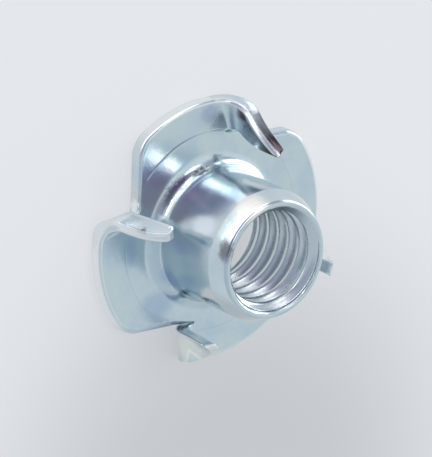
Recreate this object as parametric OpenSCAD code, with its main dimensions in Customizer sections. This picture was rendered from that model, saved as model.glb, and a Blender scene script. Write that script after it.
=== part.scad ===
// Tee nut for M10 x 1.5, drawn from one piece of sheet steel.
// The flange lies on z = 0, centred on the z axis, and the barrel points up.
// Each prong is sheared along a straight line in the flange and folded up.
// The folds run askew, and each prong has its own bend: -Y, +X, +Y and -X in turn.

/* [Flange] */
// Diameter of the flange
flange_d = 25; // [24:0.25:27]
// Thickness of the sheet that the nut is drawn from
sheet_t = 1.25; // [1.05:0.05:1.45]
// Radius rolled onto the flange's front rim by the blanking die
rim_r = 0.3; // [0.1:0.05:0.5]
// Distance from the axis to the straight edge sheared beside each prong
shear_line = 8.35; // [8:0.05:8.7]
// Length of rim broken off where each sheared edge meets it
corner_break = 0.7; // [0.3:0.1:1.2]
// Diameter of the ring that the forming tool coins into the front
ring_d = 19.2; // [18.2:0.1:20.2]
// Width of the coined ring
ring_w = 0.16; // [0.1:0.02:0.3]
// Depth of the coined ring
ring_depth = 0.06; // [0.04:0.01:0.12]

/* [Prongs] */
// Number of prongs
prong_n = 4; // [3:1:4]
// Distance from the axis to where each fold starts, at the prong's inner edge
fold_start = 2; // [1.7:0.05:2.3]
// Turn of each fold line away from square, in degrees
fold_slant = [22, 14, 16, 15]; // [13:1:23]
// Angle that each prong is folded through, in degrees
fold_turn = [96, 91, 84, 101]; // [83:1:101]
// Lean of each prong's inner edge towards the barrel, in degrees
prong_lean = [0, 8, 16, 14]; // [0:1:16]
// Distance from the axis to the inner edge of each prong at its fold
prong_inner = 9.1; // [8.9:0.05:9.3]
// Height of the prongs' tips above the flange's back
prong_h = 6.4; // [5.5:0.1:6.8]
// Inside radius of the fold at each prong's root
fold_r = 0.6; // [0.4:0.05:0.8]
// Radius of each prong's tip
tip_r = 0.45; // [0.3:0.05:0.5]

/* [Barrel] */
// Height of the whole nut
nut_h = 11; // [10:0.1:13]
// Outside diameter of the barrel
barrel_d = 12.4; // [12:0.1:12.8]
// Radius of the drawn corner between flange and barrel
draw_r = 1.5; // [1:0.1:1.8]
// Outside diameter of the flat ring at the barrel's end
end_ring_d = 11; // [10.8:0.1:11.4]
// Length of the tapered band below the end ring
end_band = 1.8; // [1.4:0.1:2.2]

/* [Thread] */
// Diameter over the thread's crests, which is the bore of the barrel
crest_d = 8.66; // [8.38:0.02:8.68]
// Diameter of the countersink at the mouth
mouth_d = 10.15; // [10:0.05:10.4]
// Angle between the countersink's wall and the axis
mouth_angle = 40; // [30:1:50]
// Radius of the drawn entry at the flange's back
entry_r = 2.8; // [2:0.1:3]

/* [Hidden] */
$fn = 96;
flange_r = flange_d / 2;
barrel_r = barrel_d / 2;
crest_r = crest_d / 2;
mouth_r = mouth_d / 2;
mouth_depth = (mouth_r - crest_r) / tan(mouth_angle);
end_r = end_ring_d / 2;
fold_mid_r = fold_r + sheet_t / 2;
fold_top = sheet_t + fold_r;
// Past every face that a cutting shape has to clear
clear = 1;
// Length of flange metal that the fold's section runs into, so that the two are one
lap = 0.05;

// Half section of the flange, the drawn corner and the outside of the barrel
module outer_section() {
    difference() {
        union() {
            square([flange_r - rim_r, sheet_t]);
            square([flange_r, sheet_t - rim_r]);
            translate([flange_r - rim_r, sheet_t - rim_r]) circle(r = rim_r);
            square([barrel_r + draw_r, sheet_t + draw_r]);
            polygon([
                [0, 0],
                [barrel_r, 0],
                [barrel_r, nut_h - end_band],
                [end_r, nut_h],
                [0, nut_h]
            ]);
        }
        translate([barrel_r + draw_r, sheet_t + draw_r]) circle(r = draw_r);
        translate([ring_d / 2 - ring_w / 2, sheet_t - ring_depth]) square([ring_w, clear]);
    }
}

// Half section of the bore with its countersink and its drawn entry
module bore_section() {
    translate([0, -clear]) square([crest_r, nut_h + 2 * clear]);
    polygon([
        [0, nut_h - mouth_depth],
        [crest_r, nut_h - mouth_depth],
        [mouth_r, nut_h],
        [mouth_r, nut_h + clear],
        [0, nut_h + clear]
    ]);
    difference() {
        translate([0, -clear]) square([crest_r + entry_r, entry_r + clear]);
        translate([crest_r + entry_r, entry_r]) circle(r = entry_r);
    }
}

// Flange and barrel before anything is sheared
module drawn_cup() {
    rotate_extrude() {
        difference() {
            outer_section();
            bore_section();
        }
    }
}

// What leaves the flange at one prong: all past the fold line and the shear line, and a broken corner
module shear_gap(slant) {
    corner_y = sqrt(flange_r * flange_r - shear_line * shear_line);
    intersection() {
        translate([shear_line, -flange_r - clear, -clear])
            cube([flange_r, 2 * flange_r, sheet_t + 2 * clear]);
        translate([prong_inner, -fold_start, -clear])
            rotate([0, 0, slant])
                translate([-flange_r, -2 * flange_r, 0])
                    cube([2 * flange_r, 2 * flange_r, sheet_t + 2 * clear]);
    }
    translate([shear_line, -corner_y, -clear])
        rotate([0, 0, -90 - asin(shear_line / flange_r) / 2])
            translate([-corner_break, -corner_break / 2, 0])
                cube([2 * corner_break, corner_break, sheet_t + 2 * clear]);
}

// Section of the fold and the blade, square to the fold line, which is at x = 0
module prong_section(turn) {
    difference() {
        union() {
            translate([0, fold_top]) circle(r = fold_top);
            translate([0, fold_top]) rotate(turn - 90) square([fold_top, prong_h]);
        }
        translate([0, fold_top]) circle(r = fold_r);
        translate([0, fold_top])
            rotate(turn - 90)
                translate([fold_r - flange_r, 0]) square([flange_r, prong_h + clear]);
        translate([-2 * fold_top, -clear]) square([2 * fold_top, 2 * fold_top + clear]);
    }
    translate([-lap, 0]) square([2 * lap, sheet_t]);
}

// Face of the blade, x along the fold line and y up: the blank's rim, the inner edge, a blunt tip
module prong_face(slant, turn, lean) {
    // Length of sheet that the fold takes up, and the height where the flat blank would have it end
    fold_len = fold_mid_r * turn * PI / 180;
    lift = sheet_t / 2 + fold_mid_r * (1 - cos(turn)) - fold_len;
    axis_u = -prong_inner * cos(slant) + fold_start * sin(slant);
    axis_v = -prong_inner * sin(slant) - fold_start * cos(slant);
    tip_y = prong_h - tip_r;
    edge_u = -(tip_y - lift) * tan(lean);
    intersection() {
        translate([axis_u, lift + axis_v]) circle(r = flange_r);
        translate([0, lift]) rotate(lean) translate([0, -flange_r]) square([flange_r, 2 * flange_r]);
        union() {
            translate([-flange_r, 0]) square([2 * flange_r, tip_y]);
            translate([edge_u + tip_r / cos(lean), tip_y]) circle(r = tip_r);
            translate([edge_u + tip_r / cos(lean), 0]) square([flange_r, prong_h]);
        }
    }
}

// One prong, standing on its fold
module prong(slant, turn, lean) {
    intersection() {
        translate([prong_inner, -fold_start, 0])
            rotate([0, 0, slant])
                intersection() {
                    translate([-fold_top, 0, 0])
                        rotate([90, 0, 90])
                            linear_extrude(2 * fold_top + flange_r - prong_inner)
                                mirror([1, 0]) prong_section(turn);
                    translate([0, clear, 0])
                        rotate([90, 0, 0])
                            linear_extrude(fold_top + 2 * clear)
                                prong_face(slant, turn, lean);
                }
        cylinder(r = flange_r, h = prong_h);
    }
}

module tee_nut() {
    color("lightsteelblue") {
        difference() {
            drawn_cup();
            for (i = [0 : prong_n - 1]) {
                rotate([0, 0, i * 90]) shear_gap(fold_slant[i]);
            }
        }
        for (i = [0 : prong_n - 1]) {
            rotate([0, 0, i * 90]) prong(fold_slant[i], fold_turn[i], prong_lean[i]);
        }
    }
}

tee_nut();
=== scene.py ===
import bmesh
import bpy
import numpy as np
from bpy.props import FloatProperty, FloatVectorProperty, IntProperty, PointerProperty
from mathutils import Matrix, Vector


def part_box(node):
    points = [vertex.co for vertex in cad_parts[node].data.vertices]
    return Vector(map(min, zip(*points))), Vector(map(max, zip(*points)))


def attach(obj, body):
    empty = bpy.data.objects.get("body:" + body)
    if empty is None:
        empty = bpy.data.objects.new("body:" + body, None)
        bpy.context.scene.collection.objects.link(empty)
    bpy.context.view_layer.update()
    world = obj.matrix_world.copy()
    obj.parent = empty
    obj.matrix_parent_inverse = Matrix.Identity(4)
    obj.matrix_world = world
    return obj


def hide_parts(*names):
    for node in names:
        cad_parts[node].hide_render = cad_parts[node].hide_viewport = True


bl_info = {
    "name": "Tee nut",
    "version": (1, 0, 0),
    "blender": (4, 5, 0),
    "location": "View3D > Sidebar > Tee nut",
    "description": "A drawn sheet-steel tee nut with its thread, sheared edges and folded prongs",
    "category": "Add Mesh",
}

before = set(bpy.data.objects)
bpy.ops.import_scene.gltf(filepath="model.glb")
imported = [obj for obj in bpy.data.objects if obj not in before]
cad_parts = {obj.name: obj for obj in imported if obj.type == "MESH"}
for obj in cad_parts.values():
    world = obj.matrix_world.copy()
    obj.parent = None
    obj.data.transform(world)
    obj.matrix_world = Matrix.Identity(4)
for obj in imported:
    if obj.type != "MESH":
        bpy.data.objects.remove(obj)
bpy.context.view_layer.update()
LOW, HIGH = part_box("tee_nut")

MM = 0.001
FLANGE_D = (HIGH.x - LOW.x) / MM
NUT_H = (HIGH.z - LOW.z) / MM
MICRON = 1e-6
WELD = 2e-7  # points of the mesh nearer than this, in metres, are one

# what a stretch of the blank's outline is: the flange's rim, a lobe's broken corner and chord, a slot's end,
# and a prong's inner edge, blunt tip and outer edge
RIM, LOBE, SLOT, INNER, TIP, OUTER = range(6)
# rows of the edge profile: its last one is on the sheet's front and its first on the back, and rows 11 to 15
# are the circle rolled onto the front
FRONT, BACK = -1, 0
FRONT_ROLL = slice(11, 16)
# what a point of the mesh can be marked as, for the plating
MARKS = "sheared", "edge", "thread", "coined"


# ---------------------------------------------------------------- helpers

def linear(hex_colour):
    """sRGB hex, such as "c8ced4", to linear RGBA: each channel through the sRGB curve."""
    s = np.array([int(hex_colour[i:i + 2], 16) for i in (0, 2, 4)]) / 255
    c = np.where(s <= 0.04045, s / 12.92, ((s + 0.055) / 1.055) ** 2.4)
    return (*c.tolist(), 1.0)


def ease(x):
    """0 below 0, 1 above 1, and 3x^2 - 2x^3 between them."""
    x = np.clip(x, 0, 1)
    return x * x * (3 - 2 * x)


def turned(p, degrees):
    """Points turned about the z axis."""
    a = np.radians(degrees)
    x, y = p[..., 0], p[..., 1]
    out = p.copy()
    out[..., 0] = x * np.cos(a) - y * np.sin(a)
    out[..., 1] = x * np.sin(a) + y * np.cos(a)
    return out


def corner(a, b, c, n):
    """n points of the quadratic curve from a to c that is pulled towards b."""
    s = np.linspace(0, 1, n)[:, None]
    return (1 - s) ** 2 * a + 2 * s * (1 - s) * b + s ** 2 * c


def straight(a, b, n):
    """n evenly spaced points from a to b, both ends included."""
    return a + (b - a) * np.linspace(0, 1, n)[:, None]


def arc(radius, a0, a1, n, centre=(0.0, 0.0)):
    """n points on a circle, from angle a0 to angle a1 in radians."""
    a = np.linspace(a0, a1, n)
    return np.c_[centre[0] + radius * np.cos(a), centre[1] + radius * np.sin(a)]


def on_circle(radius, a):
    """The point at angle a, in radians, on a circle round the axis."""
    return arc(radius, a, a, 1)[0]


def resampled(path, n):
    """n points along a polyline, at steps of length that start short and grow slowly."""
    growth = 1.25
    step = np.hypot(*np.diff(path, axis=0).T)
    length = np.r_[0, np.cumsum(step)]
    want = np.linspace(0, 1, n) ** growth * length[-1]
    return np.c_[np.interp(want, length, path[:, 0]), np.interp(want, length, path[:, 1])]


def softened(values, n):
    """A closed row of values, averaged over n neighbours on each side."""
    window = np.ones(2 * n + 1) / (2 * n + 1)
    return np.convolve(np.r_[values[-n:], values, values[:n]], window, "valid")


def revolved(section, unit):
    """A half section, radii and heights, carried round the axis on rays given by their directions."""
    heights = np.broadcast_to(section[:, None, 1:], (len(section), len(unit), 1))
    return np.concatenate([section[:, None, :1] * unit[None], heights], -1)


# ---------------------------------------------------------------- the blank

class Quarter:
    """One quarter of the blank with its prong lying flat, in a frame where the fold is near +X."""


def quarter(s, k):
    """Outline of one quarter of the blank before its prong is folded, walked anticlockwise.

    The walk goes up the sheared chord, round the slot's end, down the prong's inner edge, across its blunt
    tip, back up its outer edge, which is the flange's rim, and on along the rim to the far broken corner.
    """
    lead = 0.35             # how far a broken corner's curve reaches past it, along the rim and the chord
    chord_share = 0.9       # what is lost along the chord there, as a share of what is lost along the rim
    swing = 1.6             # length over which the chord swings out to the slot
    slot_past = 0.12        # how far the slot goes on past the start of the fold
    slot_flat = 0.02        # the flat between the two quarter circles of its end
    tip_lead = 0.3          # how far the tip's rounding reaches up the prong's two edges
    tip_outer = 1.25        # what is lost at the tip's outer side, as a share of the inner side's
    blunt = 0.16            # share of the tip's width left straight on each side of its middle
    root_lead = 0.15        # how far before the fold, along y, the prong's grid starts on the rim
    lowest_root = -1.25     # and the lowest y at which it may start
    q = Quarter()
    rad, line, brk = s.flange_d / 2, s.shear_line[k], s.corner_break
    q.inner, q.fold_y, q.slant = s.prong_inner[k], -s.fold_start[k], np.radians(s.fold_slant[k])
    q.turn, q.twist, q.curl = (np.radians(v[k]) for v in (s.fold_turn, s.fold_twist, s.prong_curl))
    q.fold_r, q.cone, q.flare, q.draw = s.fold_r[k], s.fold_cone[k], s.fold_flare[k], s.prong_draw[k]
    q.angle = -90.0 + 90.0 * k
    lean, tip_cut = s.prong_lean[k], s.tip_cut[k]
    slot_r = s.slot_r
    near = q.inner - 2 * slot_r - slot_flat
    end_y = q.fold_y + slot_past
    a_corner = -np.arccos(line / rad)
    # broken corner of the lobe on the clockwise side, then its chord
    cut = np.array([line, rad * np.sin(a_corner) + brk * chord_share])
    rim_end = on_circle(rad, a_corner - brk / rad)
    before = on_circle(rad, a_corner - (brk + lead) / rad)
    mid = (cut + rim_end) / 2
    q.broken = np.r_[corner(before, rim_end, mid, 5)[1:], corner(mid, cut, cut + [0, lead], 5)[1:]]
    q.chord = straight(q.broken[-1], np.array([line, end_y - slot_r]), s.chord_steps)[1:]
    q.chord[:, 0] += (near - line) * ease((q.chord[:, 1] - end_y + slot_r + s.slot_closed[k]) / swing + 1)
    q.slot = np.r_[
        arc(slot_r, np.pi, np.pi / 2, 5, (near + slot_r, end_y - slot_r))[1:],
        straight(np.array([near + slot_r, end_y]), np.array([q.inner - slot_r, end_y]), 4)[1:],
    ]
    # the prong: inner side and outer side, met by the middle of the blunt tip
    slope = np.array([-lean, -1.0])
    foot = np.array([q.inner, q.fold_y])
    along = slope @ foot / (slope @ slope)
    to_rim = np.sqrt(along ** 2 + (rad ** 2 - foot @ foot) / (slope @ slope)) - along
    a_tip = np.arctan2(*(foot + slope * to_rim)[::-1])
    tip_in = foot + slope * (to_rim - tip_cut)
    tip_out = on_circle(rad, a_tip + tip_cut * tip_outer / rad)
    up = on_circle(rad, a_tip + (tip_cut * tip_outer + tip_lead) / rad)
    centre = (tip_in + tip_out) / 2
    half = (tip_out - tip_in) * blunt
    inner = np.r_[
        arc(slot_r, np.pi / 2, 0, 6, (q.inner - slot_r, end_y - slot_r)),
        straight(np.array([q.inner, end_y - slot_r]), tip_in - tip_lead * slope, 120)[1:],
        corner(tip_in - tip_lead * slope, tip_in, centre - half, 12)[1:],
    ]
    # the prong's grid starts on the rim just above the fold
    root_y = max(q.fold_y + (rad - q.inner) * np.tan(q.slant) + root_lead, lowest_root)
    a_root = np.arcsin(root_y / rad)
    outer = np.r_[
        arc(rad, a_root, np.arctan2(up[1], up[0]), 140),
        corner(up, tip_out, centre + half, 12)[1:],
    ]
    q.inner_edge = resampled(inner, s.prong_rows)
    q.outer_edge = resampled(outer, s.prong_rows)
    q.tip = straight(centre - half, centre + half, s.prong_cols)
    a_far = np.pi / 2 - np.arccos(s.shear_line[(k + 1) % 4] / rad) - (brk + lead) / rad
    q.rim = arc(rad, a_root, a_far, s.rim_steps)[1:]
    return q


def from_fold(p, q):
    """Distances of blank points along and past the fold line, and the two directions."""
    along = np.array([np.cos(q.slant), np.sin(q.slant)])
    across = np.array([along[1], -along[0]])
    off = p - [q.inner, q.fold_y]
    return off @ along, off @ across, along, across


def fold(p, w, q, s):
    """Where a point of the flat prong goes when it is folded: p in the blank, w its height in the sheet.

    Across the fold line the sheet's middle turns on a circle of the fold radius plus half the sheet. Past
    that it is drawn to a new length and goes on with a slight steady curl. Radius and turn both change
    evenly along the fold line, and the radius flares out near the slot's torn end. The height in the sheet
    is measured square to it.
    """
    least_r, flare_reach = 0.8, 0.6     # least radius of the sheet's middle, and how fast the flare dies out
    t, curl = s.sheet_t, q.curl
    u, v, along, across = from_fold(p, q)
    r_mid = np.maximum(q.fold_r + t / 2 + q.cone * u, least_r)
    r_mid = r_mid + q.flare * np.exp(-np.maximum(u, 0) / flare_reach)
    turn = q.turn + q.twist * u
    phi = np.clip(v / r_mid, 0, turn)
    rest = q.draw * np.maximum(v - turn * r_mid, 0)
    a = phi + curl * rest
    vn = r_mid * np.sin(phi) + (np.sin(turn + curl * rest) - np.sin(turn)) / curl
    wn = r_mid * (1 - np.cos(phi)) - (np.cos(turn + curl * rest) - np.cos(turn)) / curl
    vn, wn, a = np.where(v < 0, v, vn), np.where(v < 0, 0, wn), np.where(v < 0, 0, a)
    off = w - t / 2
    flat = [q.inner, q.fold_y] + u[..., None] * along + (vn - off * np.sin(a))[..., None] * across
    return np.concatenate([flat, (t / 2 + wn + off * np.cos(a))[..., None]], -1)


def placed(p, w, q, s):
    """Blank points of a quarter, in the nut's frame, folded with their prong and held to the flange's width."""
    at = turned(fold(turned(np.c_[p, w], -q.angle)[..., :2], w, q, s), q.angle)
    at[..., :2] = np.clip(at[..., :2], -s.flange_d / 2, s.flange_d / 2)
    return at


def blank_outline(s, quarters):
    """The blank's outline as one loop: its points, what each is part of, its quarter, and the roll on its front.

    A chord's roll dies out towards the slot's end.
    """
    plain_roll, tip_roll, fade = 0.07, 0.1, 1.2
    loop, kind, owner, roll = [], [], [], []
    for k, q in enumerate(quarters):
        parts = ((q.broken, LOBE), (q.chord, LOBE), (q.slot, SLOT), (q.inner_edge[1:], INNER),
                 (q.tip[1:-1], TIP), (q.outer_edge[::-1], OUTER), (q.rim, RIM))
        for pts, what in parts:
            loop.append(turned(np.c_[pts, np.zeros(len(pts))], q.angle)[:, :2])
            kind.append(np.full(len(pts), what))
            owner.append(np.full(len(pts), k))
            far = ease((q.chord[-1, 1] - pts[:, 1]) / fade)
            rolled = {RIM: s.rim_r, LOBE: plain_roll + (s.chord_roll[k] - plain_roll) * far, SLOT: plain_roll,
                      INNER: plain_roll, TIP: tip_roll, OUTER: s.rim_r}[what]
            roll.append(rolled + np.zeros(len(pts)))
    return map(np.concatenate, (loop, kind, owner, roll))


def outward_from(loop):
    """Outward directions at the points of a closed loop that is walked anticlockwise."""
    step = np.roll(loop, -1, 0) - loop
    step /= np.linalg.norm(step, axis=1)[:, None]
    tangent = step + np.roll(step, 1, 0)
    tangent /= np.linalg.norm(tangent, axis=1)[:, None]
    return np.c_[tangent[:, 1], -tangent[:, 0]]


def edge_profile(t, roll, lip, burr, front_burr):
    """Section of a sheared edge for every point of the outline, from the back face round to the front.

    Two quarter circles, lip at the back and roll at the front, joined by a wall with a shallow torn zone.
    The burr is a bump pushed out of the back circle, and a smaller one stands on the front circle.
    Returns how far each point lies outside the outline, and its height in the sheet.
    """
    hold = 0.08             # a strip of each face, which keeps the rounding off the rest of it
    burr_out = 0.35         # how far the burr is pushed out, as a share of its height
    # how far up the wall, as a share, and how deep the torn zone lies there
    torn = ((0.12, 0.010), (0.3, 0.022), (0.5, 0.018), (0.62, 0.0), (0.8, 0.0))
    turn = np.radians([0, 25, 50, 70, 90])
    peak = np.array([0.5, 1.0, 0.8, 0.3, 0.0])
    out, up = [-(lip + hold)], [0 * lip]
    for a, b in zip(turn, peak):
        out.append(-lip + lip * np.sin(a) + burr_out * burr * b)
        up.append(lip - lip * np.cos(a) - burr * b)
    for share, sunk in torn:
        out.append(-sunk + 0 * lip)
        up.append(lip + (t - roll - lip) * share)
    for a, b in zip(turn, peak[::-1]):
        out.append(-roll + roll * np.cos(a))
        up.append(t - roll + roll * np.sin(a) + front_burr * b)
    out.append(-(roll + hold))
    up.append(t + 0 * lip)
    return np.stack(out), np.stack(up)


# ---------------------------------------------------------------- the barrel

def thread_radius(s, angle, z):
    """Radius of the threaded wall: a smooth step from rounded crest to rounded root that climbs a pitch a turn."""
    crest, flank = 0.09, 0.37   # half the crest's flat, and the flank's length, in pitches
    phase = (z - s.thread_start) / s.pitch - angle / (2 * np.pi)
    x = np.abs(phase - np.round(phase))
    return s.crest_d / 2 + (s.root_d - s.crest_d) / 2 * ease((x - crest) / flank)


def bore_radius(s, angle, z):
    """Radius of the bore: the widest of the thread, the countersink's cone and the drawn entry's arc."""
    fade_from, fade_over = 0.3, 1.6     # heights over which the thread grows to its full depth
    cone = s.mouth_d / 2 - (s.nut_h - z) * np.tan(np.radians(s.mouth_angle))
    low = np.clip(s.entry_r - z, 0, s.entry_r)
    entry = s.crest_d / 2 + s.entry_r - np.sqrt(s.entry_r ** 2 - low ** 2)
    fade = ease((z - fade_from) / fade_over)
    thread = s.crest_d / 2 + (thread_radius(s, angle, z) - s.crest_d / 2) * fade
    return np.maximum(np.maximum(thread, cone), entry)


def outside_profile(s):
    """Half section of the outside: drawn corner, straight barrel, tapered end band, and the end ring.

    The band's radius is the running sum of a slope that starts crisply and grows slowly. Two small arcs
    round the ring's outer and inner edges.
    """
    t, rad = s.sheet_t, s.barrel_d / 2
    step = 0.02                     # the band ends this far outside the end ring, and this far below its corner
    groove = (0.08, 0.012), (0.06, 0.04)    # two points in the groove: how deep, and how far above the band
    inner_r = 0.12                  # radius on the ring's inner edge
    a = np.linspace(0, np.pi / 2, 15)
    rows = [np.c_[rad + s.draw_r - s.draw_r * np.sin(a), t + s.draw_r - s.draw_r * np.cos(a)]]
    z0, z1 = s.nut_h - s.end_round, s.nut_h - s.edge_r - step
    z = np.linspace(t + s.draw_r, z0 - 0.1, 9)[1:]
    rows.append(np.c_[np.full_like(z, rad), z])
    # the band's slope sets in over its first twentieth, and goes from 0.9 to 1.1 of its mean
    zeta = np.r_[np.linspace(0, 0.1, 7), np.linspace(0.1, 1, 10)[1:]]
    fine = np.linspace(0, 1, 400)
    slope = ease(fine / 0.05) * (0.9 + 0.2 * fine)
    fall = np.cumsum(slope)
    fall /= fall[-1]
    band_r = rad - (rad - s.end_ring_d / 2 - step) * np.interp(zeta, fine, fall)
    rows.append(np.c_[band_r, z0 + (z1 - z0) * zeta])
    # a fine groove, then the ring's outer corner, its narrow flat and its inner corner
    ring_out, ring_in = s.end_ring_d / 2 - s.edge_r, s.mouth_d / 2 + 0.1
    rows.append(np.array([[ring_out + s.edge_r - deep, z1 + high] for deep, high in groove]))
    a = np.radians([25, 45, 65, 90])
    rows.append(np.c_[ring_out + s.edge_r * np.cos(a), s.nut_h - s.edge_r + s.edge_r * np.sin(a)])
    a = np.radians([90, 115, 140])
    rows.append(np.c_[ring_in + inner_r * np.cos(a), s.nut_h - inner_r + inner_r * np.sin(a)])
    return np.concatenate(rows)


def bore(s, angle, unit, top):
    """The bore's wall: rings that climb with the helix, held to the mouth's edge and to the back face.

    The angles and directions are the rays', and top is the mouth's radius and height.
    """
    nearly = 1e-9
    # where the rings of one turn lie, in pitches from its crest
    levels = np.array([-0.5, -0.46, -0.42, -0.39, -0.33, -0.26, -0.19, -0.14, -0.1, -0.05, 0.0,
                       0.05, 0.1, 0.14, 0.19, 0.26, 0.33, 0.39, 0.42, 0.46])
    turns = int(np.ceil(s.nut_h / s.pitch)) + 2
    level = (np.arange(-1, turns)[:, None] + levels[None]).reshape(-1)
    lead = (angle - angle[0]) / (2 * np.pi)
    base = s.thread_start / s.pitch + angle[0] / (2 * np.pi)
    z = s.pitch * (level[:, None] + base - np.round(base) + lead[None])
    z = np.clip(z, 0.0, top[1])
    r = bore_radius(s, angle[None], z)
    r = np.where(z >= top[1] - nearly, top[0], r)
    r = np.where(z <= nearly, s.crest_d / 2 + s.entry_r, r)
    skin = np.concatenate([r[..., None] * unit[None], z[..., None]], -1)
    # the seam steps up one pitch: the last ray meets the first one a pitch later
    n = len(levels)
    first = skin[:, :1]
    seam = np.concatenate([first[n:], np.repeat(first[-1:], n, 0)], 0)
    seam[-n:, 0] = [top[0] * unit[0, 0], top[0] * unit[0, 1], top[1]]
    return np.concatenate([skin, seam], 1)


# ---------------------------------------------------------------- the whole skin

class Shell:
    """Patches of vertices and quads, gathered for one mesh."""

    def __init__(self):
        self.points, self.quads, self.marks, self.count = [], [], [], 0

    def grid(self, p, closed=False, flip=False, **marks):
        """Adds a grid of points, rows by columns, as quads between neighbours."""
        rows, cols = p.shape[:2]
        index = self.count + np.arange(rows * cols).reshape(rows, cols)
        if closed:
            index = np.concatenate([index, index[:, :1]], 1)
        a, b, c, d = index[:-1, :-1], index[:-1, 1:], index[1:, 1:], index[1:, :-1]
        quads = np.stack([a, b, c, d] if not flip else [a, d, c, b], -1).reshape(-1, 4)
        self.points.append(p.reshape(-1, 3))
        self.quads.append(quads)
        values = np.zeros((rows * cols, len(MARKS)))
        for n, name in enumerate(MARKS):
            values[:, n] = np.broadcast_to(marks.get(name, 0.0), (rows, cols)).reshape(-1)
        self.marks.append(values)
        self.count += rows * cols

    def mesh(self, name):
        """One mesh of every patch, welded where they meet, with its faces pointing outwards."""
        points = np.concatenate(self.points) * MM
        quads = np.concatenate(self.quads)
        marks = np.concatenate(self.marks)
        me = bpy.data.meshes.new(name)
        me.from_pydata(points, [], quads.tolist())
        for n, label in enumerate(MARKS):
            layer = me.attributes.new(label, "FLOAT", "POINT")
            layer.data.foreach_set("value", marks[:, n].astype(np.float32))
        bm = bmesh.new()
        bm.from_mesh(me)
        bmesh.ops.remove_doubles(bm, verts=bm.verts, dist=WELD)
        bmesh.ops.recalc_face_normals(bm, faces=bm.faces)
        bm.to_mesh(me)
        bm.free()
        me.polygons.foreach_set("use_smooth", np.ones(len(me.polygons), bool))
        me.update()
        return me


def ring_strength(degrees):
    """How deep the coined ring lies round the nut: full on one lobe, faint on the others."""
    faint, deepest_at, spread = 0.12, 215, 20.0
    return faint + (1 - faint) * np.exp(-((np.mod(degrees - deepest_at + 180, 360) - 180) / spread) ** 2)


def ray_ends(inset, owner, kind, cols):
    """Where the rays of a flange face end, in order round the nut, each prong's root row before its rim."""
    ends = []
    share = np.linspace(0, 1, cols)[1:-1, None]
    for k in range(4):
        mine = np.flatnonzero(owner == k)
        lobe = mine[np.isin(kind[mine], (LOBE, SLOT))]
        root_in, root_out = inset[lobe[-1]], inset[mine[kind[mine] == OUTER][-1]]
        ends += [inset[lobe], root_in + (root_out - root_in) * share, root_out[None],
                 inset[mine[kind[mine] == RIM]]]
    return np.concatenate(ends)


def prong_face(inset, mine, kind, cols):
    """One face of a flat prong, as a grid between the inset rows of its two edges."""
    root_in = mine[np.isin(kind[mine], (LOBE, SLOT))][-1]
    inner = np.r_[inset[root_in][None], inset[mine[kind[mine] == INNER]]]
    outer = inset[mine[kind[mine] == OUTER]][::-1]
    share = np.linspace(0, 1, cols)[None, :, None]
    face = inner[:, None] + (outer - inner)[:, None] * share
    face[-1, 1:-1] = inset[mine[kind[mine] == TIP]]
    return face


def flange_face(s, side, ends, unit):
    """One face of the flange, from the barrel's foot out along every ray, and how far each point is coined.

    The front's radii lie close together across the coined ring, where it sinks, and are squeezed in
    proportion on a ray too short for them.
    """
    full_reach = 10.2           # the shortest ray whose radii aren't squeezed
    coin, coin_wide = s.ring_d / 2, 0.07
    front = side == FRONT
    start_r = s.barrel_d / 2 + s.draw_r if front else s.crest_d / 2 + s.entry_r
    reach = np.linalg.norm(ends, axis=1)
    if front:
        fixed = np.r_[start_r, start_r + 0.07, 8.1, 8.5, 8.9, 9.2, 9.38,
                      coin + np.linspace(-0.17, 0.17, 13), 9.85]
        squeeze = np.minimum((reach - start_r) / (full_reach - start_r), 1)
        near = start_r + (fixed[:, None] - start_r) * squeeze[None]
        far = near[-1] + (reach - near[-1]) * np.linspace(0, 1, 7)[1:, None]
        radii = np.r_[near, far]
    else:
        radii = start_r + (reach - start_r) * np.array([0, 0.03, 0.3, 0.6, 0.85, 1])[:, None]
    share = (radii - start_r) / (reach - start_r)
    inner = unit * start_r
    flat = inner[None] + (ends - inner)[None] * share[..., None]
    z = np.full(flat.shape[:2], s.sheet_t if front else 0.0)
    coined = 0.0
    if front:
        r = np.linalg.norm(flat, axis=2)
        around = np.degrees(np.arctan2(flat[..., 1], flat[..., 0]))
        coined = np.exp(-((r - coin) / coin_wide) ** 2) * ring_strength(around)
        # the dip fades out over the last fortieth of a ray, so that the edge stays level
        z = z - coined * s.ring_depth * np.minimum(1, (share[-1] - share) * 40)
    return np.concatenate([flat, z[..., None]], -1), coined


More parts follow.
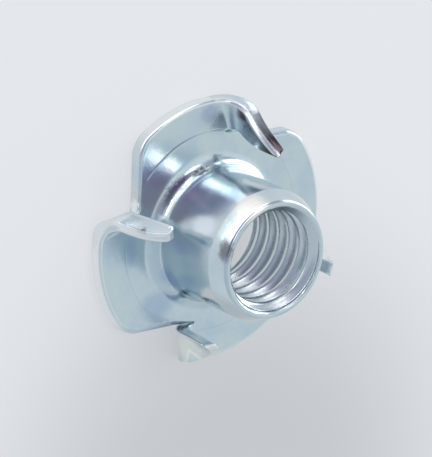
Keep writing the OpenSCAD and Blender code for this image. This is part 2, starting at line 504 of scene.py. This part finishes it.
def nut_mesh(s):
    """The whole nut as one closed skin.

    Rays run from the drawn corner out to the blank's outline over the front and the back. The outline
    carries the edge profile all round, prongs included, and the prongs' faces are grids between their two
    edges. Everything on a prong then goes through the fold. The outside and the bore are rings on the
    same rays, and the thread's rings climb with the helix until they meet the two ends.
    """
    shell = Shell()
    quarters = [quarter(s, k) for k in range(4)]
    loop, kind, owner, roll = blank_outline(s, quarters)
    spread = 3                  # points on each side over which one stretch of the outline eases into the next
    unwhitened_prong = 3              # the quarter whose prong's tip and outer edge are left almost without the edges' whitening and painted highlight

    def each(rim, lobe, slot, inner, tip, outer):
        """A value for every kind of stretch, as a row along the whole outline."""
        return softened(np.array([rim, lobe, slot, inner, tip, outer])[kind], spread)

    # radius on the back, the burr there, and the burr on the front, in millimetres
    lip = each(rim=0.07, lobe=0.06, slot=0.1, inner=0.3, tip=0.12, outer=0.06)
    burr = each(rim=0.0, lobe=0.0, slot=0.0, inner=0.045, tip=0.05, outer=0.05)
    front_burr = each(rim=0.0, lobe=0.03, slot=0.0, inner=0.0, tip=0.0, outer=0.0)
    # a prong's burr grows from 0.48 to 1.68 mm past the fold line, where the fold has lifted it off the wood
    for k, q in enumerate(quarters):
        mine = owner == k
        past = from_fold(turned(np.c_[loop[mine], loop[mine] * 0], -q.angle)[:, :2], q)[1]
        burr[mine] *= ease(past / 1.2 - 0.4)
    out, up = edge_profile(s.sheet_t, softened(roll, spread), lip, burr, front_burr)

    # edge all round
    edge = loop[None] + out[..., None] * outward_from(loop)[None]
    skin = np.concatenate([edge, up[..., None]], -1)
    for k, q in enumerate(quarters):
        on = (owner == k) & np.isin(kind, (INNER, TIP, OUTER))
        skin[:, on] = placed(edge[:, on].reshape(-1, 2), up[:, on].reshape(-1), q, s).reshape(-1, on.sum(), 3)
    # both marks are full on the edge's wall and nothing on the two faces; the bright one, which is partly
    # plating built up on edges and partly a painted highlight, is left almost off one prong's tip and outer edge,
    # but the roll on the front of every prong's outer edge keeps it
    wall = np.sin(np.pi * np.linspace(0, 1, len(skin)))[:, None] ** 0.4
    unwhitened = (owner == unwhitened_prong) & np.isin(kind, (TIP, OUTER))
    bright = wall * np.where(unwhitened, 0.05, each(rim=1.0, lobe=0.15, slot=0.4, inner=0.6, tip=0.9, outer=0.75))
    bright[FRONT_ROLL, kind == OUTER] = 0.9
    shell.grid(skin, closed=True, sheared=wall * (kind != RIM), edge=bright)

    # faces of the sheet, on rays whose angles come from the front's
    ends = {side: ray_ends(edge[side], owner, kind, s.prong_cols) for side in (FRONT, BACK)}
    angle = np.maximum.accumulate(np.unwrap(np.arctan2(ends[FRONT][:, 1], ends[FRONT][:, 0])))
    unit = np.c_[np.cos(angle), np.sin(angle)]
    for side, height in ((FRONT, s.sheet_t), (BACK, 0.0)):
        for k, q in enumerate(quarters):
            face = prong_face(edge[side], np.flatnonzero(owner == k), kind, s.prong_cols)
            flat = face.reshape(-1, 2)
            folded = placed(flat, np.full(len(flat), height), q, s).reshape(*face.shape[:2], 3)
            shell.grid(folded, flip=side == BACK)
        face, coined = flange_face(s, side, ends[side], unit)
        shell.grid(face, closed=True, flip=side == BACK, coined=coined)

    # outside, from the flange up to the mouth, and the bore
    section = outside_profile(s)
    shell.grid(revolved(section, unit), closed=True)
    shell.grid(bore(s, angle, unit, section[-1]), flip=True, thread=1.0)
    return shell.mesh("tee_nut_metal")


# ---------------------------------------------------------------- sizes and colours

class NutSizes(bpy.types.PropertyGroup):
    """Sizes of the nut, in millimetres and degrees."""

    flange_d: FloatProperty(name="Flange diameter", description="Diameter of the flange", default=FLANGE_D)
    sheet_t: FloatProperty(name="Sheet", description="Thickness of the sheet", default=1.25)
    rim_r: FloatProperty(name="Rim roll", description="Radius rolled onto the front rim", default=0.3)
    shear_line: FloatVectorProperty(
        name="Shear line", description="Axis to each sheared chord", size=4, default=(8.35, 8.75, 8.35, 8.3))
    chord_roll: FloatVectorProperty(
        name="Chord roll", description="Radius rolled onto each chord's front",
        size=4, default=(0.35, 0.66, 0.35, 0.5))
    slot_r: FloatProperty(name="Slot end", description="Radius at the end of each slot", default=0.08)
    slot_closed: FloatVectorProperty(
        name="Slot closed", description="How far each slot stays closed from its end",
        size=4, default=(0.0, 0.0, 0.0, 1.6))
    corner_break: FloatProperty(name="Corner break", description="Rim lost at each sheared corner", default=0.7)
    ring_d: FloatProperty(name="Coined ring", description="Diameter of the coined ring", default=19.2)
    ring_depth: FloatProperty(name="Coined depth", description="Depth of the coined ring", default=0.045)
    prong_inner: FloatVectorProperty(
        name="Prong inner edge", description="Axis to each prong's inner edge at its fold",
        size=4, default=(9.2, 8.79, 8.69, 9.5))
    prong_lean: FloatVectorProperty(
        name="Prong lean", description="Slope of each prong's inner edge in the blank",
        size=4, default=(-0.035, -0.051, 0.0, -0.002))
    tip_cut: FloatVectorProperty(
        name="Tip cut", description="Length lost at each blunt tip",
        size=4, default=(0.9, 0.6, 0.35, 0.2))
    fold_start: FloatVectorProperty(
        name="Fold start", description="Where each fold starts, from the axis",
        size=4, default=(1.709, 1.564, 1.95, 1.267))
    fold_slant: FloatVectorProperty(
        name="Fold slant", description="How far each fold line is turned, in degrees",
        size=4, default=(17.9, 0.6, -10.7, 20.7))
    fold_r: FloatVectorProperty(
        name="Fold radius", description="Inside radius of each fold at the prong's inner edge",
        size=4, default=(0.543, 0.659, 0.6, 1.142))
    fold_cone: FloatVectorProperty(
        name="Fold cone", description="How fast each fold's radius grows towards the rim",
        size=4, default=(0.213, -0.15, -0.076, 0.316))
    fold_flare: FloatVectorProperty(
        name="Flare", description="Extra fold radius at the torn end of each slot",
        size=4, default=(0.0, 0.5, 0.0, 0.0))
    fold_turn: FloatVectorProperty(
        name="Fold turn", description="Angle each prong is folded through at its inner edge, in degrees",
        size=4, default=(92.4, 91.2, 81.0, 95.6))
    fold_twist: FloatVectorProperty(
        name="Fold twist", description="Extra turn towards the rim, in degrees per millimetre",
        size=4, default=(10.5, 15.2, 2.1, 0.0))
    prong_draw: FloatVectorProperty(
        name="Draw", description="How much longer each prong is drawn past its fold",
        size=4, default=(1.2, 0.88, 1.1, 1.0))
    prong_curl: FloatVectorProperty(
        name="Curl", description="How fast each prong curls on past its fold, in degrees per millimetre",
        size=4, default=(6.1, -4.9, 0.5, -7.9))
    barrel_d: FloatProperty(name="Barrel diameter", description="Outside diameter of the barrel", default=12.4)
    nut_h: FloatProperty(name="Height", description="Height of the whole nut", default=NUT_H)
    draw_r: FloatProperty(name="Drawn corner", description="Radius between flange and barrel", default=1.5)
    end_ring_d: FloatProperty(name="End ring", description="Outside diameter of the end ring", default=11.0)
    end_round: FloatProperty(name="End band", description="Length of the tapered end band", default=1.8)
    edge_r: FloatProperty(name="Ring edge", description="Radius on the end ring's edges", default=0.15)
    crest_d: FloatProperty(name="Crest diameter", description="Diameter over the thread's crests", default=8.66)
    root_d: FloatProperty(name="Root diameter", description="Diameter at the thread's roots", default=10.0)
    pitch: FloatProperty(name="Pitch", description="Rise of the thread in one turn", default=1.5)
    thread_start: FloatProperty(name="Thread start", description="Height of a crest on the +X side", default=0.78)
    mouth_d: FloatProperty(name="Mouth", description="Diameter of the countersink", default=10.15)
    mouth_angle: FloatProperty(name="Mouth angle", description="Countersink wall to axis, degrees", default=39.0)
    entry_r: FloatProperty(name="Entry radius", description="Drawn radius at the back", default=2.8)
    prong_rows: IntProperty(name="Prong rows", description="Mesh rows along a prong", default=44)
    prong_cols: IntProperty(name="Prong columns", description="Mesh columns across a prong", default=10)
    chord_steps: IntProperty(name="Chord steps", description="Mesh steps along a chord", default=32)
    rim_steps: IntProperty(name="Rim steps", description="Mesh steps along a lobe's rim", default=35)


class NutFinish(bpy.types.PropertyGroup):
    """Colours of the plating, the sizes of its patterns in millimetres, and its roughness."""

    zinc: FloatVectorProperty(
        name="Zinc", description="Colour of the bright plating",
        subtype="COLOR", size=4, min=0.0, max=1.0, default=linear("cddade"))
    film: FloatVectorProperty(
        name="Blue film", description="Colour where the passivation is thick",
        subtype="COLOR", size=4, min=0.0, max=1.0, default=linear("b4c9de"))
    # the edges' whitening: partly plating built up there, partly a painted highlight
    edge: FloatVectorProperty(
        name="Edge", description="Colour of the plating where it builds up on edges",
        subtype="COLOR", size=4, min=0.0, max=1.0, default=linear("edf1f2"))
    # the groove's darker colour is painted shade along the coined crease
    groove: FloatVectorProperty(
        name="Groove", description="Colour of the dull coined groove",
        subtype="COLOR", size=4, min=0.0, max=1.0, default=linear("78828f"))
    inside: FloatVectorProperty(
        name="Inside", description="Colour of the thinner plating in the thread",
        subtype="COLOR", size=4, min=0.0, max=1.0, default=linear("d6dee2"))
    film_size: FloatProperty(name="Film patches", description="Width of the film's patches", default=3.5)
    grain_size: FloatProperty(name="Grain", description="Width of the sheet's grain as drawn", default=0.28)
    grain_depth: FloatProperty(
        name="Grain depth", description="Depth of the sheet's grain, in micrometres", default=9.0)
    roughness: FloatProperty(name="Roughness", description="Roughness of the plating", default=0.13)


# ---------------------------------------------------------------- materials

def node(tree, kind, links=(), **settings):
    """Adds one node with its settings, and links (output socket, input name or number) pairs into it.

    A setting called in_3 is the value of the node's input number 3.
    """
    n = tree.nodes.new(kind)
    for name, value in settings.items():
        if name.startswith("in_"):
            n.inputs[int(name[3:])].default_value = value
        else:
            setattr(n, name, value)
    for source, target in links:
        tree.links.new(source, n.inputs[target])
    return n


def lay_stain_or_painted_light(tree, under, spot, place, radius, strength, squash, tint):
    """Lays a patch over a colour, at the ragged coordinates spot, round a place on the nut in millimetres.

    The patch is an ellipsoid, squash times narrower than its radius along each axis. It has its full
    strength out to a share of that and fades from there to its edge.
    """
    full = 0.35
    where = node(tree, "ShaderNodeMapping", [(spot, 0)], vector_type="TEXTURE", in_1=np.array(place) * MM,
                 in_3=radius * MM / np.array(squash))
    far = node(tree, "ShaderNodeVectorMath", [(where.outputs[0], 0)], operation="LENGTH")
    soft = node(tree, "ShaderNodeMapRange", [(far.outputs["Value"], 0)], interpolation_type="SMOOTHSTEP",
                in_1=1.0, in_2=full, in_4=strength)
    over = node(tree, "ShaderNodeMix", [(soft.outputs[0], 0), (under, 6)], data_type="RGBA", in_7=linear(tint))
    return over.outputs[2]


# Patches of stain and of painted light: place and radius in millimetres, strength, squash along x, y and z, and
# tint. A later one lies over an earlier one. Those marked as painted aren't plating: they are reflections,
# highlights and shade painted into the metal's colour where the lamps and the room alone leave a reflection too
# weak, and can be deleted without touching anything else.
STAINS_AND_PAINTED_LIGHT = (
    # thick blue film, on the flange and the barrel's foot
    ((6.2, -5.9, 1.25), 1.9, 0.5, (1.0, 0.75, 1.0), "8fa9cf"),
    ((0.6, -9.1, 1.25), 1.5, 0.4, (0.7, 1.3, 1.0), "9ab2d6"),
    ((3.3, -5.0, 2.6), 1.8, 0.5, (1.0, 1.0, 1.2), "94a9d0"),
    # a dark spot on the end band, which may be mirrored
    ((-1.8, -5.3, 10.5), 1.6, 0.7, (1.0, 1.6, 1.9), "5c5059"),
    # painted reflection: the grey of one lobe and of the barrel above it, and two painted highlights on that lobe
    ((-4.4, -7.0, 1.25), 2.8, 0.8, (1.0, 1.0, 1.5), "cdcfcf"),
    ((-4.0, -4.7, 4.0), 2.9, 0.75, (1.0, 1.0, 1.2), "cdcbd6"),
    ((-8.1, -6.6, 1.25), 1.2, 0.75, (1.0, 1.0, 1.5), "f0f1f1"),
    ((-7.0, -4.9, 1.25), 1.2, 0.75, (1.0, 1.0, 1.5), "f0f1f1"),
    # painted dark reflection: a dark strip in the drawn corner
    ((-4.8, -4.6, 1.75), 2.7, 0.75, (1.0, 1.0, 6.0), "5a5768"),
    ((-6.1, -2.1, 1.95), 1.8, 0.9, (2.0, 1.0, 5.0), "35323c"),
    # a brown spot on a prong's edge
    ((-2.6, -10.3, 4.6), 0.7, 0.7, (1.0, 1.0, 1.6), "6b5040"),
    # painted highlight: a bright stretch of a chord
    ((-3.5, -8.4, 0.8), 0.9, 0.8, (1.0, 1.0, 1.0), "f4f8fb"),
    # blue film by a prong's root
    ((-11.3, -0.6, 1.25), 1.2, 0.55, (1.0, 0.8, 1.0), "9aa6c4"),
    # dark brown on the outer face, tip and root of the prong whose edge is left unwhitened: partly a stain and
    # partly a painted dark reflection
    ((-10.5, 3.1, 3.8), 2.2, 0.8, (1.0, 1.0, 1.0), "59545f"),
    ((-8.7, 3.7, 5.6), 2.1, 1.0, (1.0, 1.0, 1.0), "321b27"),
    ((-11.1, 2.2, 2.5), 1.0, 0.85, (1.0, 1.0, 1.0), "4c2c36"),
    # painted highlight: a bright prong
    ((10.6, -3.0, 2.8), 2.4, 0.85, (1.0, 1.0, 1.0), "f2f6f3"),
    # a grey-blue stretch of the chord by that prong's slot, which may be mirrored
    ((8.6, -5.0, 0.9), 1.0, 0.7, (1.2, 0.3, 1.2), "8a96ad"),
    # painted highlights: bright places on the barrel, a prong, the end band and another prong
    ((-3.1, -5.4, 7.2), 1.5, 0.8, (1.0, 1.0, 0.7), "eaf2fc"),
    ((-3.1, -10.8, 3.0), 1.6, 0.7, (1.0, 1.0, 1.0), "eef4f8"),
    ((-5.3, -2.5, 10.1), 2.2, 0.85, (1.0, 1.0, 1.0), "f6f3ec"),
    ((2.6, 9.8, 4.6), 2.4, 0.8, (1.0, 1.0, 1.0), "f4f6f6"),
)


def bright_zinc(finish):
    """Bright electroplated zinc with a thin blue passivation, on pressed mild steel.

    To the eye: close to a mirror, a little soft from the sheet's fine grain, cool where the film is thick,
    whiter on edges, partly where the plating builds up there and partly as a painted highlight, dull in the
    coined groove, which also carries a painted shade, and dull down in the thread. Patches of stain and of
    painted reflection lie over the film.
    """
    mat = bpy.data.materials.new("bright_zinc")
    mat.use_nodes = True
    tree = mat.node_tree
    shader = tree.nodes["Principled BSDF"]
    shader.inputs["Metallic"].default_value = 1.0
    at = node(tree, "ShaderNodeTexCoord").outputs["Object"]
    mark = {m: node(tree, "ShaderNodeAttribute", attribute_name=m).outputs["Fac"] for m in MARKS}

    # the film: clouds a few millimetres wide, warped so that they look like dried rinse water; it hides
    # at most 0.6 of the zinc
    drift = node(tree, "ShaderNodeTexNoise", [(at, "Vector")], in_2=1 / (finish.film_size * 2 * MM), in_3=2.0)
    drift = node(tree, "ShaderNodeVectorMath", [(drift.outputs["Color"], 0)], operation="SCALE",
                 in_3=finish.film_size * MM)
    bent = node(tree, "ShaderNodeVectorMath", [(at, 0), (drift.outputs[0], 1)])
    film = node(tree, "ShaderNodeTexNoise", [(bent.outputs[0], "Vector")], in_2=1 / (finish.film_size * MM),
                in_3=3.0, in_4=0.55)
    thick = node(tree, "ShaderNodeMapRange", [(film.outputs[0], 0)], in_1=0.42, in_2=0.75, in_4=0.6)
    colour = node(tree, "ShaderNodeMix", [(thick.outputs[0], 0)], data_type="RGBA", in_6=tuple(finish.zinc),
                  in_7=tuple(finish.film)).outputs[2]
    # the patches of stain and of painted reflection, with edges made ragged by a noise that shifts them by up to
    # half its depth either way
    rag_wide, rag_deep = 0.4, 0.9
    rag = node(tree, "ShaderNodeTexNoise", [(at, "Vector")], in_2=1 / (rag_wide * MM), in_3=4.0, in_4=0.75)
    rag = node(tree, "ShaderNodeVectorMath", [(rag.outputs["Color"], 0)], operation="MULTIPLY_ADD",
               in_1=(rag_deep * MM,) * 3, in_2=(-rag_deep / 2 * MM,) * 3)
    ragged = node(tree, "ShaderNodeVectorMath", [(at, 0), (rag.outputs[0], 1)]).outputs[0]
    for row in STAINS_AND_PAINTED_LIGHT:
        colour = lay_stain_or_painted_light(tree, colour, ragged, *row)
    # thinner plating in the thread, thicker and, as a painted highlight, whiter on edges, and painted shade in the
    # dull coined groove
    for name, tint, most in (("thread", finish.inside, 0.85), ("edge", finish.edge, 0.9),
                             ("coined", finish.groove, 0.8)):
        share = node(tree, "ShaderNodeMath", [(mark[name], 0)], operation="MULTIPLY", in_1=most)
        colour = node(tree, "ShaderNodeMix", [(share.outputs[0], 0), (colour, 6)], data_type="RGBA",
                      in_7=tuple(tint)).outputs[2]
    tree.links.new(colour, shader.inputs["Base Color"])

    # roughness: the sheet, a touch more where the film is thick, and more on torn and tapped metal
    rough = node(tree, "ShaderNodeMapRange", [(film.outputs[0], 0)], in_1=0.3, in_2=0.75,
                 in_3=finish.roughness - 0.02, in_4=finish.roughness + 0.07).outputs[0]
    for name, more in (("sheared", 0.10), ("thread", 0.12), ("coined", 0.15)):
        rough = node(tree, "ShaderNodeMath", [(mark[name], 0), (rough, 2)], operation="MULTIPLY_ADD",
                     in_1=more).outputs[0]
    tree.links.new(rough, shader.inputs["Roughness"])

    # relief: the sheet's grain, which is really finer and is drawn coarse enough to show, and the fine
    # lines that punch and die leave along the axis, strong on sheared edges and faint elsewhere
    line_wide, line_deep, line_squash = 0.3 * MM, 6 * MICRON, 0.06
    grain = node(tree, "ShaderNodeTexNoise", [(at, "Vector")], in_2=1 / (finish.grain_size * MM), in_3=4.0,
                 in_4=0.72)
    bump = node(tree, "ShaderNodeBump", [(grain.outputs[0], "Height")], in_0=1.0, in_1=finish.grain_depth * MICRON)
    stretch = node(tree, "ShaderNodeMapping", [(at, 0)], in_3=(1.0, 1.0, line_squash))
    lines = node(tree, "ShaderNodeTexNoise", [(stretch.outputs[0], "Vector")], in_2=1 / line_wide, in_3=2.0)
    deep = node(tree, "ShaderNodeMath", [(mark["sheared"], 0)], operation="MULTIPLY_ADD", in_1=0.8, in_2=0.12)
    scored = node(tree, "ShaderNodeBump", [(lines.outputs[0], "Height"), (deep.outputs[0], "Strength"),
                                           (bump.outputs[0], "Normal")], in_1=line_deep)
    tree.links.new(scored.outputs[0], shader.inputs["Normal"])
    return mat


# ---------------------------------------------------------------- the nut, the stage and the panel

class TEENUT_OT_nut(bpy.types.Operator):
    """Makes the nut in sheet steel, in place of the plain solid"""
    bl_idname = "teenut.nut"
    bl_label = "Nut"

    def execute(self, context):
        sizes, finish = context.scene.tee_nut_sizes, context.scene.tee_nut_finish
        nut = bpy.data.objects.new("tee_nut_metal", nut_mesh(sizes))
        context.scene.collection.objects.link(nut)
        nut.data.materials.append(bright_zinc(finish))
        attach(nut, "root")
        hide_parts("tee_nut")
        return {"FINISHED"}


def room_patch(tree, under, azimuth, elevation, inner, outer, colour):
    """Lays a round patch of colour over the room, soft from its inner to its outer angle, in degrees."""
    az, el = np.radians((azimuth, elevation))
    towards = (np.cos(el) * np.cos(az), np.cos(el) * np.sin(az), np.sin(el))
    where = node(tree, "ShaderNodeTexCoord")
    near = node(tree, "ShaderNodeVectorMath", [(where.outputs["Generated"], 0)], operation="DOT_PRODUCT",
                in_1=towards)
    soft = node(tree, "ShaderNodeMapRange", [(near.outputs["Value"], 0)], interpolation_type="SMOOTHSTEP",
                in_1=np.cos(np.radians(outer)), in_2=np.cos(np.radians(inner)))
    over = node(tree, "ShaderNodeMix", [(soft.outputs[0], 0), (under, 6)], data_type="RGBA", in_7=(*colour, 1.0))
    return over.outputs[2]


def softbox(scene, name, azimuth, elevation, wide, high, radiance):
    """A rectangular lamp that faces the nut and is wide by high degrees across, as seen from it."""
    away = 0.6  # metres
    az, el = np.radians((azimuth, elevation))
    lamp = bpy.data.lights.new(name, "AREA")
    lamp.shape = "RECTANGLE"
    lamp.size, lamp.size_y = 2 * away * np.tan(np.radians((wide / 2, high / 2)))
    lamp.energy = radiance * np.pi * lamp.size * lamp.size_y
    box = bpy.data.objects.new(name, lamp)
    box.location = away * Vector((np.cos(el) * np.cos(az), np.cos(el) * np.sin(az), np.sin(el)))
    box.rotation_mode = "QUATERNION"
    box.rotation_quaternion = (-box.location).to_track_quat("-Z", "Y")
    box.visible_camera = False
    scene.collection.objects.link(box)


def floor_material():
    """Pale satin paper, with a painted shadow: a slightly darker patch beside the nut.

    Part of its light is its own, for the camera and in mirrored rays, so that it shows pale there and
    still takes the nut's shadow.
    """
    own_light, own_mirrored = 0.6, 0.85
    # where the floor's painted shadow is darkest, and where it has faded out
    patch, painted_shadow_full, painted_shadow_gone = (0.030, 0.004, 0.0), 0.010, 0.038   # its middle and two radii, in metres
    mat = bpy.data.materials.new("pale_floor")
    mat.use_nodes = True
    tree = mat.node_tree
    paper = tree.nodes["Principled BSDF"]
    paper.inputs["Roughness"].default_value = 0.3
    at = node(tree, "ShaderNodeTexCoord")
    far = node(tree, "ShaderNodeVectorMath", [(at.outputs["Object"], 0)], operation="DISTANCE", in_1=patch)
    fade = node(tree, "ShaderNodeMapRange", [(far.outputs["Value"], 0)], interpolation_type="SMOOTHSTEP",
                in_1=painted_shadow_full, in_2=painted_shadow_gone)
    pale = node(tree, "ShaderNodeMix", [(fade.outputs[0], 0)], data_type="RGBA", in_6=linear("d0d2d4"),
                in_7=linear("eff0f2"))
    tree.links.new(pale.outputs[2], paper.inputs["Base Color"])
    ray = node(tree, "ShaderNodeLightPath")
    mirrored = node(tree, "ShaderNodeMath", [(ray.outputs["Is Glossy Ray"], 0),
                                             (ray.outputs["Is Transmission Ray"], 1)], operation="MAXIMUM")
    mirrored = node(tree, "ShaderNodeMath", [(mirrored.outputs[0], 0)], operation="MULTIPLY", in_1=own_mirrored)
    own = node(tree, "ShaderNodeMath", [(ray.outputs["Is Camera Ray"], 0), (mirrored.outputs[0], 2)],
               operation="MULTIPLY_ADD", in_1=own_light)
    glow = node(tree, "ShaderNodeEmission", [(pale.outputs[2], 0)], in_1=1.0)
    both = node(tree, "ShaderNodeMixShader", [(own.outputs[0], 0), (paper.outputs[0], 1), (glow.outputs[0], 2)])
    tree.links.new(both.outputs[0], tree.nodes["Material Output"].inputs["Surface"])
    return mat


def room():
    """A plain pale room, with a few soft patches that are darker than the rest."""
    world = bpy.data.worlds.new("studio")
    world.use_nodes = True
    tree = world.node_tree
    walls = node(tree, "ShaderNodeRGB")
    walls.outputs[0].default_value = (0.86, 0.90, 0.94, 1.0)
    seen = walls.outputs[0]
    # azimuth, elevation, inner and outer angle in degrees, and linear colour
    for patch in ((0, 28, 30, 75, (0.62, 0.69, 0.73)),
                  (-59, 8, 25, 60, (0.58, 0.64, 0.70)),
                  (57, 56, 6, 27, (0.74, 0.79, 0.81)),
                  (136, 20, 14, 30, (0.40, 0.45, 0.53)),
                  (-125, 55, 16, 42, (0.38, 0.42, 0.52)),
                  (-170, 42, 8, 26, (0.36, 0.31, 0.47))):
        seen = room_patch(tree, seen, *patch)
    tree.links.new(seen, tree.nodes["Background"].inputs["Color"])
    tree.nodes["Background"].inputs["Strength"].default_value = 1.0
    return world


class TEENUT_OT_stage(bpy.types.Operator):
    """Makes the floor, the lights and the camera"""
    bl_idname = "teenut.stage"
    bl_label = "Stage"

    def execute(self, context):
        scene = context.scene
        me = bpy.data.meshes.new("floor")
        w = 0.8  # half the floor's width
        me.from_pydata([(-w, -w, 0), (w, -w, 0), (w, w, 0), (-w, w, 0)], [], [(0, 1, 2, 3)])
        floor = bpy.data.objects.new("floor", me)
        scene.collection.objects.link(floor)
        me.materials.append(floor_material())
        scene.world = room()
        # azimuth and elevation, width and height, all in degrees, and radiance
        softbox(scene, "softbox_front", -157, 7, 88, 22, 2.4)
        softbox(scene, "softbox_side", 112, 6, 42, 34, 2.6)
        softbox(scene, "softbox_top", 165, 48, 11, 11, 3.4)
        camera(scene)
        scene.view_settings.view_transform = "Standard"
        return {"FINISHED"}


def camera(scene):
    """The camera, at the viewing angle that shows the barrel pointing down to the right.

    Its place is given the other way round, as the nut's place before the camera: a turn, which is an axis
    times an angle in radians, and a shift to the right, down and away.
    """
    turn = np.array([0.08517, 2.46542, 0.41976])
    shift = Vector((-1.21132, -0.18334, 400.0)) * MM
    focal_px, image_px = 4366.53, 457   # focal length, and the image's longer side, in its pixels
    angle = np.linalg.norm(turn)
    axis = Vector(turn / angle)
    from_nut = Matrix.Rotation(angle, 3, axis) @ Matrix.Rotation(np.pi / 2, 3, "Z")
    cam = bpy.data.cameras.new("camera")
    cam.sensor_width = 36.0
    cam.lens = focal_px / image_px * cam.sensor_width
    cam.clip_start, cam.clip_end = 0.01, 10.0
    holder = bpy.data.objects.new("camera", cam)
    right, down, away = from_nut
    frame_of = Matrix((right, -down, -away)).transposed()
    holder.location = -(from_nut.transposed() @ shift)
    holder.rotation_mode = "QUATERNION"
    holder.rotation_quaternion = frame_of.to_quaternion()
    scene.collection.objects.link(holder)
    scene.camera = holder


class TEENUT_PT_panel(bpy.types.Panel):
    """Lists the makers in the 3D view's sidebar"""
    bl_idname = "TEENUT_PT_panel"
    bl_label = "Tee nut"
    bl_space_type = "VIEW_3D"
    bl_region_type = "UI"
    bl_category = "Tee nut"

    def draw(self, context):
        for operator in OPERATORS:
            self.layout.operator(operator.bl_idname)


OPERATORS = (TEENUT_OT_nut, TEENUT_OT_stage)
CLASSES = (NutSizes, NutFinish, *OPERATORS, TEENUT_PT_panel)


def register():
    for c in CLASSES:
        bpy.utils.register_class(c)
    bpy.types.Scene.tee_nut_sizes = PointerProperty(type=NutSizes)
    bpy.types.Scene.tee_nut_finish = PointerProperty(type=NutFinish)


def unregister():
    del bpy.types.Scene.tee_nut_finish
    del bpy.types.Scene.tee_nut_sizes
    for c in reversed(CLASSES):
        bpy.utils.unregister_class(c)


def main():
    register()
    bpy.ops.teenut.nut()
    bpy.ops.teenut.stage()


if __name__ == "__main__":
    main()
